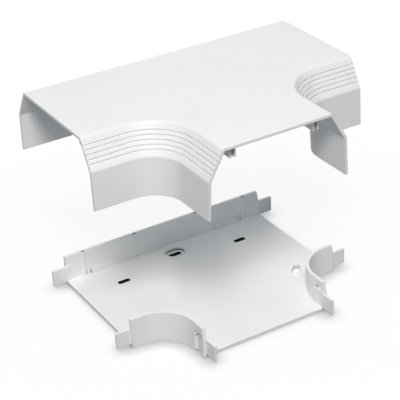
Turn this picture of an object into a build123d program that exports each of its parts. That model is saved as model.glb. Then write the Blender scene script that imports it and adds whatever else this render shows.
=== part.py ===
from build123d import *
import math
import os

os.makedirs("parts", exist_ok=True)

# Driving sizes of the cover, in mm. Run along X, branch toward -Y, +Z up.
TEE_LENGTH = 200.0
COVER_WIDTH = 102.0
BRANCH_REACH = 102.0
COVER_HEIGHT = 45.0
SKIRT_HEIGHT = 26.0
SKIRT_DRAFT = 1.0
BEVEL_RUN = 10.8
COVER_WALL = 1.8
CORNER_RADIUS = 21.5
TOP_EDGE_ROUND = 2.0
SHOULDER_ROUND = 2.5

# Decorative grooves on the two inside-corner shoulders.
GROOVE_FIRST_HEIGHT = 29.8
GROOVE_PITCH = 2.62
GROOVE_COUNT = 5
GROOVE_WIDTH = 0.8
GROOVE_DEPTH = 0.45

# Clip pairs under the top plate at each opening.
CLIP_INSET = 8.2
CLIP_RIB = 1.4
CLIP_GAP = 1.6
CLIP_LENGTH = 10.0
CLIP_DROP = 8.4
CLIP_SETBACK = 4.8

# Fit of the cover over the base.
COVER_CLEARANCE = 0.4

# Driving sizes of the base. Its ends stop short of the cover's so that trunking can butt against them.
RUN_END_SETBACK = 19.5
BRANCH_END_SETBACK = 18.0
BASE_HEIGHT = 21.4
FLOOR_THICKNESS = 2.1
BASE_WALL = 2.3
END_SLANT = 1.6

# Joining tabs at the six wall ends.
TAB_THICKNESS = 1.8
TAB_REACH = 10.5
TAB_ROOT = 7.0
TAB_TOP = 13.6

# Catch pockets in the two branch walls.
POCKET_END_INSET = 2.8
POCKET_LENGTH = 7.7
POCKET_TOP = 13.4
POCKET_PANEL = 1.2
WINDOW_LENGTH = 7.0
WINDOW_HEIGHT = 2.7

# Pilasters and ledges on the back wall.
PILASTER_INNER_X = 25.3
PILASTER_END_INSET = 14.0
PILASTER_WIDTH = 3.6
PILASTER_STAND = 1.5
SOCKET_LENGTH = 2.6
SOCKET_WIDTH = 1.4
SOCKET_DEPTH = 5.0
LEDGE_LENGTH = 19.8
LEDGE_PILASTER_GAP = 5.2
LEDGE_HEIGHT = 4.0
LEDGE_STAND = 1.8
LEDGE_POST_WIDTH = 2.4
LEDGE_POST_GAP = 0.7
LEDGE_POST_HEIGHT = 5.0
DIMPLE_X = 16.0
DIMPLE_HEIGHT = 14.0
DIMPLE_WIDTH = 1.1
DIMPLE_DEPTH = 0.4

# Fixing slots in the floor.
PLAIN_SLOT_LENGTH = 9.4
PLAIN_SLOT_WIDTH = 3.8
PLAIN_SLOT_END_INSET = 32.5
PLAIN_SLOT_WALL_INSET = 24.1
RIM_HEIGHT = 1.3
RIM_WALL = 1.2
CENTRE_SLOT_LENGTH = 10.0
CENTRE_SLOT_WIDTH = 4.2
CENTRE_RIM_LENGTH = 17.0
CENTRE_RIM_WIDTH = 12.4
CENTRE_RECESS_DEPTH = 0.9
CENTRE_SLOT_WALL_INSET = 12.9
CORNER_SLOT_LENGTH = 10.0
CORNER_SLOT_WIDTH = 4.8
CORNER_SLOT_BRANCH_OFFSET = 9.0
CORNER_SLOT_WALL_INSET = 11.5
CORNER_SLOT_ANGLE = 45.0

# Height at which the cover stands lifted off the base.
COVER_RAISE = 110.0

# Derived sizes shared by both pieces.
OVERRUN = 12.0
run_reach = TEE_LENGTH / 2 + OVERRUN
branch_reach = BRANCH_REACH + OVERRUN
draft_slope = SKIRT_DRAFT / SKIRT_HEIGHT
draft_angle = math.degrees(math.atan(draft_slope))
bevel_rise = COVER_HEIGHT - SKIRT_HEIGHT
bevel_slope = BEVEL_RUN / bevel_rise
bevel_angle = math.degrees(math.atan(bevel_slope))
corner_centre = COVER_WIDTH / 2 + CORNER_RADIUS


def tee_outline(height, half_width):
    """Plan of the tee at one height, its inside corners rounded about fixed centres."""
    with BuildSketch(Plane.XY.offset(height)) as outline:
        Rectangle(2 * run_reach, 2 * half_width)
        with Locations((0, -branch_reach / 2)):
            Rectangle(2 * half_width, branch_reach)
        inside_corners = outline.vertices().group_by(Axis.Y)[1].sort_by(Axis.X)[1:3]
        fillet(inside_corners, corner_centre - half_width)
    return outline.sketch


# Cover: vertical skirt below, bevelled shoulders above, open at the three ends.
shoulder_half = COVER_WIDTH / 2 - SKIRT_DRAFT
ceiling = COVER_HEIGHT - COVER_WALL
bevel_wall = COVER_WALL / math.cos(math.atan(bevel_slope))
inner_skirt_half = COVER_WIDTH / 2 - COVER_WALL
inner_bend = (
    shoulder_half + SKIRT_HEIGHT * bevel_slope - bevel_wall - inner_skirt_half
) / (bevel_slope - draft_slope)
inner_bend_half = inner_skirt_half - inner_bend * draft_slope
ceiling_half = inner_bend_half - (ceiling - inner_bend) * bevel_slope
clip_offset = ceiling_half - CLIP_INSET
clip_spread = (CLIP_GAP + CLIP_RIB) / 2

with BuildPart() as cover:
    extrude(tee_outline(0, COVER_WIDTH / 2), amount=SKIRT_HEIGHT, taper=draft_angle)
    extrude(tee_outline(SKIRT_HEIGHT, shoulder_half), amount=bevel_rise, taper=bevel_angle)
    # Straight ends.
    with Locations((0, (COVER_WIDTH / 2 - BRANCH_REACH) / 2, COVER_HEIGHT / 2)):
        Box(TEE_LENGTH, COVER_WIDTH / 2 + BRANCH_REACH, COVER_HEIGHT, mode=Mode.INTERSECT)
    # Soft edges along the shoulders and round the top plate.
    end_edges = cover.faces().filter_by(Axis.X).edges() + cover.faces().sort_by(Axis.Y)[0].edges()
    for level, radius in ((SKIRT_HEIGHT, SHOULDER_ROUND), (COVER_HEIGHT, TOP_EDGE_ROUND)):
        long_edges = cover.edges().filter_by_position(Axis.Z, level - 0.01, level + 0.01)
        fillet([edge for edge in long_edges if edge not in end_edges], radius)
    # Hollow inside, following the outside.
    extrude(
        tee_outline(0, inner_skirt_half),
        amount=inner_bend,
        taper=draft_angle,
        mode=Mode.SUBTRACT,
    )
    extrude(
        tee_outline(inner_bend, inner_bend_half),
        amount=ceiling - inner_bend,
        taper=bevel_angle,
        mode=Mode.SUBTRACT,
    )
    # Clips at the three openings.
    for turn, reach in ((0, TEE_LENGTH / 2), (180, TEE_LENGTH / 2), (-90, BRANCH_REACH)):
        with Locations(Location((0, 0, 0), (0, 0, turn))):
            clip_middle = reach - CLIP_SETBACK - CLIP_LENGTH / 2
            for side in (-clip_offset, clip_offset):
                with Locations(
                    (clip_middle, side - clip_spread, ceiling),
                    (clip_middle, side + clip_spread, ceiling),
                ):
                    Box(
                        CLIP_LENGTH,
                        CLIP_RIB,
                        CLIP_DROP,
                        align=(Align.CENTER, Align.CENTER, Align.MAX),
                    )
    # Parallel grooves sweeping round both inside corners.
    for step in range(GROOVE_COUNT):
        groove_height = GROOVE_FIRST_HEIGHT + step * GROOVE_PITCH
        groove_half = shoulder_half - (groove_height - SKIRT_HEIGHT) * bevel_slope
        with BuildSketch(Plane.XY.offset(groove_height - GROOVE_WIDTH / 2)) as groove:
            with Locations((0, -branch_reach / 2)):
                Rectangle(2 * run_reach, branch_reach)
            add(tee_outline(0, groove_half - GROOVE_DEPTH), mode=Mode.SUBTRACT)
        extrude(groove.sketch, amount=GROOVE_WIDTH, mode=Mode.SUBTRACT)

# Base: shallow channel tee with a full floor, nesting inside the cover.
base_half = inner_skirt_half - COVER_CLEARANCE
base_inner_half = base_half - BASE_WALL
tab_face = base_inner_half - TAB_THICKNESS
base_length = TEE_LENGTH - 2 * RUN_END_SETBACK
base_branch_reach = BRANCH_REACH - BRANCH_END_SETBACK
pocket_start = base_branch_reach - POCKET_END_INSET - POCKET_LENGTH


def tab_plan(wall_end, root):
    """Corners of one tab from above, given along and across the wall that carries it."""
    return [
        (wall_end + TAB_REACH, tab_face),
        (wall_end, tab_face),
        (wall_end - root, base_inner_half),
        (wall_end - root, base_inner_half + BASE_WALL / 4),
        (wall_end, base_inner_half + BASE_WALL / 4),
        (wall_end, base_inner_half),
        (wall_end + TAB_REACH, base_inner_half),
    ]


with BuildPart() as base:
    extrude(tee_outline(0, base_half), amount=BASE_HEIGHT, taper=draft_angle)
    with Locations((0, (base_half - base_branch_reach) / 2, BASE_HEIGHT / 2)):
        Box(base_length, base_half + base_branch_reach, BASE_HEIGHT, mode=Mode.INTERSECT)
    extrude(
        tee_outline(FLOOR_THICKNESS, base_inner_half - FLOOR_THICKNESS * draft_slope),
        amount=BASE_HEIGHT,
        taper=draft_angle,
        mode=Mode.SUBTRACT,
    )
    # Wall ends cut at a slant above the tabs, at the right of the run and at the branch.
    with BuildSketch(Plane.XZ) as run_slant:
        with BuildLine():
            Polyline(
                (base_length / 2, TAB_TOP),
                (base_length / 2 - END_SLANT, BASE_HEIGHT),
                (base_length / 2 + END_SLANT, BASE_HEIGHT),
                (base_length / 2 + END_SLANT, TAB_TOP),
                close=True,
            )
        make_face()
    extrude(amount=COVER_WIDTH, both=True, mode=Mode.SUBTRACT)
    with BuildSketch(Plane.YZ) as branch_slant:
        with BuildLine():
            Polyline(
                (-base_branch_reach, TAB_TOP),
                (-base_branch_reach + END_SLANT, BASE_HEIGHT),
                (-base_branch_reach - END_SLANT, BASE_HEIGHT),
                (-base_branch_reach - END_SLANT, TAB_TOP),
                close=True,
            )
        make_face()
    extrude(amount=COVER_WIDTH, both=True, mode=Mode.SUBTRACT)
    # Catch pockets: outside recess, thin raised panel behind it, window above it.
    for side in (-1, 1):
        with Locations((side * base_inner_half, -pocket_start, 0)):
            Box(
                2 * BASE_WALL,
                POCKET_LENGTH,
                POCKET_TOP,
                align=(Align.MIN if side > 0 else Align.MAX, Align.MAX, Align.MIN),
                mode=Mode.SUBTRACT,
            )
        with Locations((side * base_inner_half, -pocket_start, FLOOR_THICKNESS)):
            Box(
                POCKET_PANEL,
                base_branch_reach - pocket_start,
                POCKET_TOP - FLOOR_THICKNESS,
                align=(Align.MAX if side > 0 else Align.MIN, Align.MAX, Align.MIN),
            )
        with BuildSketch(Plane.YZ.offset(side * tab_face)) as window:
            with Locations((-pocket_start - POCKET_LENGTH / 2, POCKET_TOP + WINDOW_HEIGHT / 2)):
                SlotOverall(WINDOW_LENGTH, WINDOW_HEIGHT)
        extrude(amount=side * 3 * BASE_WALL, mode=Mode.SUBTRACT)
    # Six tabs, each growing out of the inner side of a wall end as a wedge.
    run_tab = tab_plan(base_length / 2, TAB_ROOT)
    branch_tab = tab_plan(base_branch_reach, POCKET_END_INSET)
    with BuildSketch(Plane.XY.offset(FLOOR_THICKNESS)) as tabs:
        for corners in (
            run_tab,
            [(along, -across) for along, across in run_tab],
            [(across, -along) for along, across in branch_tab],
        ):
            with BuildLine():
                Polyline(*corners, close=True)
            make_face()
        mirror(about=Plane.YZ)
    extrude(amount=TAB_TOP - FLOOR_THICKNESS)
    # Half-round pilasters on the back wall, each with a blind socket in its top.
    pilaster_centre = base_inner_half - PILASTER_STAND + PILASTER_WIDTH / 2
    outer_pilaster = base_length / 2 - PILASTER_END_INSET
    pilaster_spots = [
        (x, pilaster_centre)
        for x in (-outer_pilaster, -PILASTER_INNER_X, PILASTER_INNER_X, outer_pilaster)
    ]
    with BuildSketch(Plane.XY.offset(FLOOR_THICKNESS)) as pilasters:
        with Locations(*pilaster_spots):
            Circle(PILASTER_WIDTH / 2)
        with Locations((0, base_inner_half + BASE_WALL / 2)):
            Rectangle(base_length, PILASTER_WIDTH, align=(Align.CENTER, Align.MIN), mode=Mode.SUBTRACT)
    extrude(amount=BASE_HEIGHT - FLOOR_THICKNESS)
    with BuildSketch(Plane.XY.offset(BASE_HEIGHT)) as sockets:
        with Locations(*[(x, base_inner_half - SOCKET_WIDTH / 4) for x, y in pilaster_spots]):
            SlotOverall(SOCKET_LENGTH, SOCKET_WIDTH)
    extrude(amount=-SOCKET_DEPTH, mode=Mode.SUBTRACT)
    # Low ledges along the foot of the back wall, each with a round post at its outer end.
    ledge_end = outer_pilaster - LEDGE_PILASTER_GAP
    with Locations(
        (ledge_end - LEDGE_LENGTH, base_inner_half - LEDGE_STAND, FLOOR_THICKNESS),
        (-ledge_end, base_inner_half - LEDGE_STAND, FLOOR_THICKNESS),
    ):
        Box(LEDGE_LENGTH, LEDGE_STAND + BASE_WALL / 4, LEDGE_HEIGHT, align=Align.MIN)
    post_x = ledge_end + LEDGE_POST_GAP + LEDGE_POST_WIDTH / 2
    with Locations(
        (post_x, base_inner_half, FLOOR_THICKNESS),
        (-post_x, base_inner_half, FLOOR_THICKNESS),
    ):
        Cylinder(
            LEDGE_POST_WIDTH / 2,
            LEDGE_POST_HEIGHT,
            align=(Align.CENTER, Align.CENTER, Align.MIN),
        )
    # Small round dimples in the back wall.
    with BuildSketch(Plane.XZ.offset(-base_inner_half)) as dimples:
        with Locations((-DIMPLE_X, DIMPLE_HEIGHT), (DIMPLE_X, DIMPLE_HEIGHT)):
            Circle(DIMPLE_WIDTH / 2)
    extrude(amount=DIMPLE_DEPTH, both=True, mode=Mode.SUBTRACT)
    # Raised oval rims, the recess inside the centre one, and the fixing slots through the floor.
    centre_slot_spot = (0, base_inner_half - CENTRE_SLOT_WALL_INSET)
    corner_slot_x = base_half + CORNER_SLOT_BRANCH_OFFSET
    corner_slot_y = CORNER_SLOT_WALL_INSET - base_inner_half
    corner_slot_spots = (
        Location((corner_slot_x, corner_slot_y), CORNER_SLOT_ANGLE),
        Location((-corner_slot_x, corner_slot_y), -CORNER_SLOT_ANGLE),
    )
    plain_slot_x = base_length / 2 - PLAIN_SLOT_END_INSET
    plain_slot_y = base_inner_half - PLAIN_SLOT_WALL_INSET
    with BuildSketch(Plane.XY.offset(FLOOR_THICKNESS)) as rims:
        with Locations(centre_slot_spot):
            SlotOverall(CENTRE_RIM_LENGTH, CENTRE_RIM_WIDTH)
        with Locations(*corner_slot_spots):
            SlotOverall(CORNER_SLOT_LENGTH + 2 * RIM_WALL, CORNER_SLOT_WIDTH + 2 * RIM_WALL)
    extrude(amount=RIM_HEIGHT)
    with BuildSketch(Plane.XY.offset(FLOOR_THICKNESS + RIM_HEIGHT)) as recess:
        with Locations(centre_slot_spot):
            SlotOverall(CENTRE_RIM_LENGTH - 2 * RIM_WALL, CENTRE_RIM_WIDTH - 2 * RIM_WALL)
    extrude(amount=-RIM_HEIGHT - CENTRE_RECESS_DEPTH, mode=Mode.SUBTRACT)
    with BuildSketch() as slots:
        with Locations(centre_slot_spot):
            SlotOverall(CENTRE_SLOT_LENGTH, CENTRE_SLOT_WIDTH)
        with Locations(*corner_slot_spots):
            SlotOverall(CORNER_SLOT_LENGTH, CORNER_SLOT_WIDTH)
        with Locations((plain_slot_x, plain_slot_y), (-plain_slot_x, plain_slot_y)):
            SlotOverall(PLAIN_SLOT_LENGTH, PLAIN_SLOT_WIDTH)
    extrude(amount=FLOOR_THICKNESS + RIM_HEIGHT, mode=Mode.SUBTRACT)

base.part.label = "base"
export_step(base.part, "parts/base.step")

lifted_cover = cover.part.moved(Location((0, 0, COVER_RAISE)))
lifted_cover.label = "cover"
export_step(lifted_cover, "parts/cover.step")
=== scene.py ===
import math

import bpy
from mathutils import Matrix, Vector

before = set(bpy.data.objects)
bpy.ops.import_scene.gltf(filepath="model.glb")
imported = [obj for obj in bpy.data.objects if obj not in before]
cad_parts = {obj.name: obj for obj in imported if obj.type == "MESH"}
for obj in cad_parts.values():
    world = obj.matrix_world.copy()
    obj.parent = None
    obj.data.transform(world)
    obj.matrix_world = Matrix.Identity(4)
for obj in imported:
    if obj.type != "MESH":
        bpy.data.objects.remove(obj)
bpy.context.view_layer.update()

# Camera, matched to the photograph's viewing angle. Places in metres, angles in degrees, lens
# and sensor in millimetres.
CAMERA_PLACE = Vector((-0.4099, -0.7071, 0.5217))
CAMERA_AZIMUTH = -30.3
CAMERA_ELEVATION = 29.39
CAMERA_ROLL = -2.73
CAMERA_LENS = 124.3
CAMERA_SENSOR = 36.0
CAMERA_NEAR = 0.01

# Colours, linear.
COVER_WHITE = (0.82, 0.82, 0.81, 1.0)
COVER_SHADE = (0.80, 0.80, 0.793, 1.0)
BASE_WHITE = (0.89, 0.89, 0.883, 1.0)
BASE_SHADE = (0.87, 0.87, 0.864, 1.0)
# FLOOR_GREY is the floor's paint for light bouncing off it, and painted shade under the slots at
# the back.
FLOOR_GREY = (0.15, 0.17, 0.20, 1.0)
FLOOR_WHITE = (0.97, 0.97, 0.97, 1.0)
# Painted shade, for crevices, the blind sockets and the walls of the slots at the back.
CREVICE_PAINTED_SHADE = (0.012, 0.013, 0.016, 1.0)
PURE_WHITE = (1.0, 1.0, 1.0, 1.0)
SKY_FILL = (0.84, 0.92, 1.0, 1.0)
SKY_FILL_STRENGTH = 0.33
KEY_LIGHT = (1.0, 0.972, 0.935)
FILL_LIGHT = (1.0, 0.98, 0.95)

# Moulded plastic. Noise scales are per metre, and a moulded edge is softened by EDGE_RADIUS.
COVER_ROUGHNESS = 0.45
BASE_ROUGHNESS = 0.48
ROUGHNESS_SPREAD = 0.06
PLASTIC_IOR = 1.5
PLASTIC_SPECULAR = 0.4
FLOW_SCALE = 28.0
FLOW_SHADE_END = 0.30
FLOW_WHITE_END = 0.55
GLOSS_SCALE = 90.0
GRAIN_SCALE = 1800.0
GRAIN_STRENGTH = 0.12
GRAIN_HEIGHT = 0.00006
EDGE_RADIUS = 0.0004
EDGE_SAMPLES = 6

# Painted crevice shade: the openness within CREVICE_REACH at which a crevice is painted fully dark,
# and at which it is painted no darker.
CREVICE_REACH = 0.005
CREVICE_SAMPLES = 12
CREVICE_DARK = 0.15
CREVICE_CLEAR = 0.28

# The blind sockets in the wall's top get painted shade up to a wider openness, and lie above this
# height.
SOCKET_CLEAR = 0.62
SOCKET_FOOT = 0.0165

# A face looks up or down where the upright part of its normal is more than this.
LEVEL_LIMIT = 0.5

# The part of the base's floor that holds the fixing slots, and its thickness. The photograph is
# dark in the three slots at the back and white in the two at the front corners.
SLOT_FIELD_SIDE = 0.078
SLOT_FIELD_BACK = 0.045
SLOT_FIELD_FRONT = -0.045
# From here back, the slots' walls and the studio floor under them get painted shade.
PAINTED_SHADE_SLOTS_FRONT = -0.015
SLOT_TOP = 0.0021

# The studio floor: its half width, the reach of the contact shadow painted into its glow, and the
# white share of the picture near the object, which grows to all of it from the near to the far
# distance.
FLOOR_REACH = 3.0
FLOOR_ROUGHNESS = 0.9
CONTACT_REACH = 0.012
CONTACT_SAMPLES = 8
FLOOR_GLOW_NEAR = 0.88
GLOW_NEAR_REACH = 0.13
GLOW_FAR_REACH = 0.26


def node(tree, kind, **inputs):
    """One node, with values for its inputs; an underscore stands for a space."""
    made = tree.nodes.new(kind)
    for name, setting in inputs.items():
        made.inputs[name.replace("_", " ")].default_value = setting
    return made


def calculate(tree, operation, first, second):
    """One Math node; each side is a socket or a number."""
    made = tree.nodes.new("ShaderNodeMath")
    made.operation = operation
    for side, given in enumerate((first, second)):
        if isinstance(given, float):
            made.inputs[side].default_value = given
        else:
            tree.links.new(given, made.inputs[side])
    return made.outputs[0]


def object_place(tree):
    return tree.nodes.new("ShaderNodeTexCoord").outputs["Object"]


def parts_of(tree, vector):
    """The X, Y and Z of a vector."""
    made = tree.nodes.new("ShaderNodeSeparateXYZ")
    tree.links.new(vector, made.inputs[0])
    return made.outputs


def slot_shade_field(tree, front):
    """1 in the part of the base's floor that holds the slots, from front to back; it places the
    slots' painted shade.
    """
    place = parts_of(tree, object_place(tree))
    sideways = calculate(tree, "ABSOLUTE", place["X"], 0.0)
    across = calculate(tree, "LESS_THAN", sideways, SLOT_FIELD_SIDE)
    along = calculate(tree, "GREATER_THAN", place["Y"], front)
    behind = calculate(tree, "LESS_THAN", place["Y"], SLOT_FIELD_BACK)
    low = calculate(tree, "LESS_THAN", place["Z"], SLOT_TOP)
    field = calculate(tree, "MULTIPLY", across, along)
    depth = calculate(tree, "MULTIPLY", behind, low)
    return calculate(tree, "MULTIPLY", field, depth)


def openness(tree, clear):
    """Painted crevice shade: 0, fully painted dark, in a tight crevice and 1 outside one; clear is
    a number or a socket.
    """
    hollow = node(tree, "ShaderNodeAmbientOcclusion", Distance=CREVICE_REACH)
    hollow.samples = CREVICE_SAMPLES
    depth = node(tree, "ShaderNodeMapRange", From_Min=CREVICE_DARK)
    if isinstance(clear, float):
        depth.inputs["From Max"].default_value = clear
    else:
        tree.links.new(clear, depth.inputs["From Max"])
    tree.links.new(hollow.outputs["AO"], depth.inputs["Value"])
    return depth.outputs["Result"]


def base_openness(tree):
    """As openness, with painted shade reaching wider in the blind sockets, none where a face looks
    up, and full painted shade on the upright faces of the slots at the back.
    """
    place = parts_of(tree, object_place(tree))
    high = calculate(tree, "GREATER_THAN", place["Z"], SOCKET_FOOT)
    wider = calculate(tree, "MULTIPLY", high, SOCKET_CLEAR - CREVICE_CLEAR)
    clear = openness(tree, calculate(tree, "ADD", wider, CREVICE_CLEAR))
    facing = tree.nodes.new("ShaderNodeNewGeometry")
    normal = parts_of(tree, facing.outputs["True Normal"])
    upward = calculate(tree, "GREATER_THAN", normal["Z"], LEVEL_LIMIT)
    clear = calculate(tree, "MAXIMUM", clear, upward)
    level = calculate(tree, "ABSOLUTE", normal["Z"], 0.0)
    upright = calculate(tree, "LESS_THAN", level, LEVEL_LIMIT)
    painted_dark_wall = calculate(tree, "MULTIPLY", upright, slot_shade_field(tree, PAINTED_SHADE_SLOTS_FRONT))
    return calculate(tree, "MULTIPLY", clear, calculate(tree, "SUBTRACT", 1.0, painted_dark_wall))


def moulded_plastic(name, light, dark, roughness, slotted):
    """White moulded PVC: faint flow mottling and painted crevice shade in the colour, fine spark
    texture in the relief.
    """
    material = bpy.data.materials.new(name)
    material.use_nodes = True
    tree = material.node_tree
    shader = tree.nodes["Principled BSDF"]
    shader.inputs["IOR"].default_value = PLASTIC_IOR
    shader.inputs["Specular IOR Level"].default_value = PLASTIC_SPECULAR
    place = object_place(tree)

    # Colour: flow mottling, with painted shade in the crevices.
    flow = node(tree, "ShaderNodeTexNoise", Scale=FLOW_SCALE, Detail=3.0, Roughness=0.5)
    tree.links.new(place, flow.inputs["Vector"])
    ramp = tree.nodes.new("ShaderNodeValToRGB")
    shade_end, white_end = ramp.color_ramp.elements
    shade_end.position, shade_end.color = FLOW_SHADE_END, dark
    white_end.position, white_end.color = FLOW_WHITE_END, light
    tree.links.new(flow.outputs["Fac"], ramp.inputs["Fac"])
    clear = base_openness(tree) if slotted else openness(tree, CREVICE_CLEAR)
    shade = tree.nodes.new("ShaderNodeMix")
    shade.data_type = "RGBA"
    shade.inputs["A"].default_value = CREVICE_PAINTED_SHADE
    tree.links.new(clear, shade.inputs["Factor"])
    tree.links.new(ramp.outputs["Color"], shade.inputs["B"])
    tree.links.new(shade.outputs["Result"], shader.inputs["Base Color"])

    # Gloss, a little uneven.
    gloss = node(tree, "ShaderNodeTexNoise", Scale=GLOSS_SCALE, Detail=2.0)
    tree.links.new(place, gloss.inputs["Vector"])
    spread = tree.nodes.new("ShaderNodeMapRange")
    spread.inputs["To Min"].default_value = roughness - ROUGHNESS_SPREAD
    spread.inputs["To Max"].default_value = roughness + ROUGHNESS_SPREAD
    tree.links.new(gloss.outputs["Fac"], spread.inputs["Value"])
    tree.links.new(spread.outputs["Result"], shader.inputs["Roughness"])

    # Relief: spark texture over softened edges.
    grain = node(tree, "ShaderNodeTexNoise", Scale=GRAIN_SCALE, Detail=2.0)
    tree.links.new(place, grain.inputs["Vector"])
    rounded = node(tree, "ShaderNodeBevel", Radius=EDGE_RADIUS)
    rounded.samples = EDGE_SAMPLES
    bump = node(tree, "ShaderNodeBump", Strength=GRAIN_STRENGTH, Distance=GRAIN_HEIGHT)
    tree.links.new(grain.outputs["Fac"], bump.inputs["Height"])
    tree.links.new(rounded.outputs["Normal"], bump.inputs["Normal"])
    tree.links.new(bump.outputs["Normal"], shader.inputs["Normal"])
    return material


cover_plastic = moulded_plastic(
    "cover_plastic_white", COVER_WHITE, COVER_SHADE, COVER_ROUGHNESS, slotted=False
)
base_plastic = moulded_plastic(
    "base_plastic_white", BASE_WHITE, BASE_SHADE, BASE_ROUGHNESS, slotted=True
)
for name, plastic in (("cover", cover_plastic), ("base", base_plastic)):
    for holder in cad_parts[name].material_slots:
        holder.material = plastic


def seen_directly(tree):
    """1 for the camera's rays, and for those reflected or let through to it."""
    rays = tree.nodes.new("ShaderNodeLightPath").outputs
    reflected = calculate(tree, "MAXIMUM", rays["Is Camera Ray"], rays["Is Glossy Ray"])
    return calculate(tree, "MAXIMUM", reflected, rays["Is Transmission Ray"])


def white_floor(name):
    """White to the camera and in reflections, with painted shade under the slots at the back,
    shadow kept.
    """
    material = bpy.data.materials.new(name)
    material.use_nodes = True
    tree = material.node_tree
    floor_without_painted_shade = calculate(tree, "SUBTRACT", 1.0, slot_shade_field(tree, PAINTED_SHADE_SLOTS_FRONT))
    direct = seen_directly(tree)

    # Paint, which takes the shadows.
    paint = tree.nodes["Principled BSDF"]
    paint.inputs["Roughness"].default_value = FLOOR_ROUGHNESS
    # Under the slots at the back the camera sees the grey paint instead of white: painted shade.
    tone = tree.nodes.new("ShaderNodeMix")
    tone.data_type = "RGBA"
    tone.inputs["A"].default_value = FLOOR_GREY
    tone.inputs["B"].default_value = FLOOR_WHITE
    tree.links.new(calculate(tree, "MULTIPLY", direct, floor_without_painted_shade), tone.inputs["Factor"])
    tree.links.new(tone.outputs["Result"], paint.inputs["Base Color"])

    # Glow, with a painted contact shadow where the object touches the floor but none under the
    # slots at the front; no glow under the slots at the back, which get painted shade.
    glow = node(tree, "ShaderNodeEmission", Color=PURE_WHITE)
    painted_contact_shade = node(tree, "ShaderNodeAmbientOcclusion", Distance=CONTACT_REACH)
    painted_contact_shade.samples = CONTACT_SAMPLES
    under_slots = slot_shade_field(tree, SLOT_FIELD_FRONT)
    bright = calculate(tree, "MAXIMUM", painted_contact_shade.outputs["AO"], under_slots)
    tree.links.new(calculate(tree, "MULTIPLY", bright, floor_without_painted_shade), glow.inputs["Strength"])

    # The glow's share grows with the distance from the object.
    away = tree.nodes.new("ShaderNodeVectorMath")
    away.operation = "LENGTH"
    tree.links.new(object_place(tree), away.inputs[0])
    share = node(
        tree,
        "ShaderNodeMapRange",
        From_Min=GLOW_NEAR_REACH,
        From_Max=GLOW_FAR_REACH,
        To_Min=FLOOR_GLOW_NEAR,
    )
    tree.links.new(away.outputs["Value"], share.inputs["Value"])
    mix = tree.nodes.new("ShaderNodeMixShader")
    shown = calculate(tree, "MULTIPLY", direct, share.outputs["Result"])
    tree.links.new(shown, mix.inputs[0])
    tree.links.new(paint.outputs[0], mix.inputs[1])
    tree.links.new(glow.outputs[0], mix.inputs[2])
    tree.links.new(mix.outputs[0], tree.nodes["Material Output"].inputs["Surface"])
    return material


floor_mesh = bpy.data.meshes.new("studio_floor")
floor_corners = [(-1, -1), (1, -1), (1, 1), (-1, 1)]
floor_mesh.from_pydata(
    [(FLOOR_REACH * x, FLOOR_REACH * y, 0) for x, y in floor_corners], [], [(0, 1, 2, 3)]
)
floor_mesh.materials.append(white_floor("studio_floor_white"))
floor = bpy.data.objects.new("studio_floor", floor_mesh)
bpy.context.scene.collection.objects.link(floor)

# White surroundings for the camera and reflections, cooler fill light for the object.
world = bpy.data.worlds.new("studio_world")
bpy.context.scene.world = world
world.use_nodes = True
sky = world.node_tree
sky.nodes.clear()
fill = node(sky, "ShaderNodeBackground", Color=SKY_FILL, Strength=SKY_FILL_STRENGTH)
white = node(sky, "ShaderNodeBackground", Color=PURE_WHITE, Strength=1.0)
mix = sky.nodes.new("ShaderNodeMixShader")
out = sky.nodes.new("ShaderNodeOutputWorld")
sky.links.new(seen_directly(sky), mix.inputs[0])
sky.links.new(fill.outputs[0], mix.inputs[1])
sky.links.new(white.outputs[0], mix.inputs[2])
sky.links.new(mix.outputs[0], out.inputs["Surface"])


def softbox(name, place, aim, size, power, colour):
    """A square lamp. Lengths in metres, power in watts."""
    lamp = bpy.data.lights.new(name, "AREA")
    lamp.shape = "SQUARE"
    lamp.size = size
    lamp.energy = power
    lamp.color = colour
    holder = bpy.data.objects.new(name, lamp)
    holder.location = place
    holder.rotation_euler = (Vector(aim) - Vector(place)).to_track_quat("-Z", "Y").to_euler()
    bpy.context.scene.collection.objects.link(holder)
    return holder


softbox(
    "key_softbox",
    place=(-0.52, -0.88, 1.26),
    aim=(0, -0.03, 0.05),
    size=0.4,
    power=17.4,
    colour=KEY_LIGHT,
)
softbox(
    "back_softbox",
    place=(0.75, 1.25, 0.10),
    aim=(0, 0, 0.08),
    size=0.5,
    power=5.5,
    colour=FILL_LIGHT,
)
overhead = softbox(
    "overhead_softbox",
    place=(0, -0.05, 1.9),
    aim=(0, -0.05, 0),
    size=0.9,
    power=4.4,
    colour=FILL_LIGHT,
)

# The overhead lamp's light reaches the base as if the cover weren't over it.
blockers = bpy.data.collections.new("overhead_blockers")
blockers.objects.link(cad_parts["base"])
blockers.objects.link(floor)
overhead.light_linking.blocker_collection = blockers

# Camera.
azimuth = math.radians(CAMERA_AZIMUTH)
elevation = math.radians(CAMERA_ELEVATION)
roll = math.radians(CAMERA_ROLL)
forward = Vector(
    (
        -math.sin(azimuth) * math.cos(elevation),
        math.cos(azimuth) * math.cos(elevation),
        -math.sin(elevation),
    )
)
right = forward.cross(Vector((0, 0, 1))).normalized()
up = right.cross(forward)
tilted_right = right * math.cos(roll) + up * math.sin(roll)
tilted_up = up * math.cos(roll) - right * math.sin(roll)
camera_data = bpy.data.cameras.new("camera")
camera_data.lens = CAMERA_LENS
camera_data.sensor_width = CAMERA_SENSOR
camera_data.clip_start = CAMERA_NEAR
camera = bpy.data.objects.new("camera", camera_data)
turn = Matrix((tilted_right, tilted_up, -forward)).transposed().to_4x4()
camera.matrix_world = Matrix.Translation(CAMERA_PLACE) @ turn
bpy.context.scene.collection.objects.link(camera)
bpy.context.scene.camera = camera
bpy.context.scene.view_settings.view_transform = "Standard"
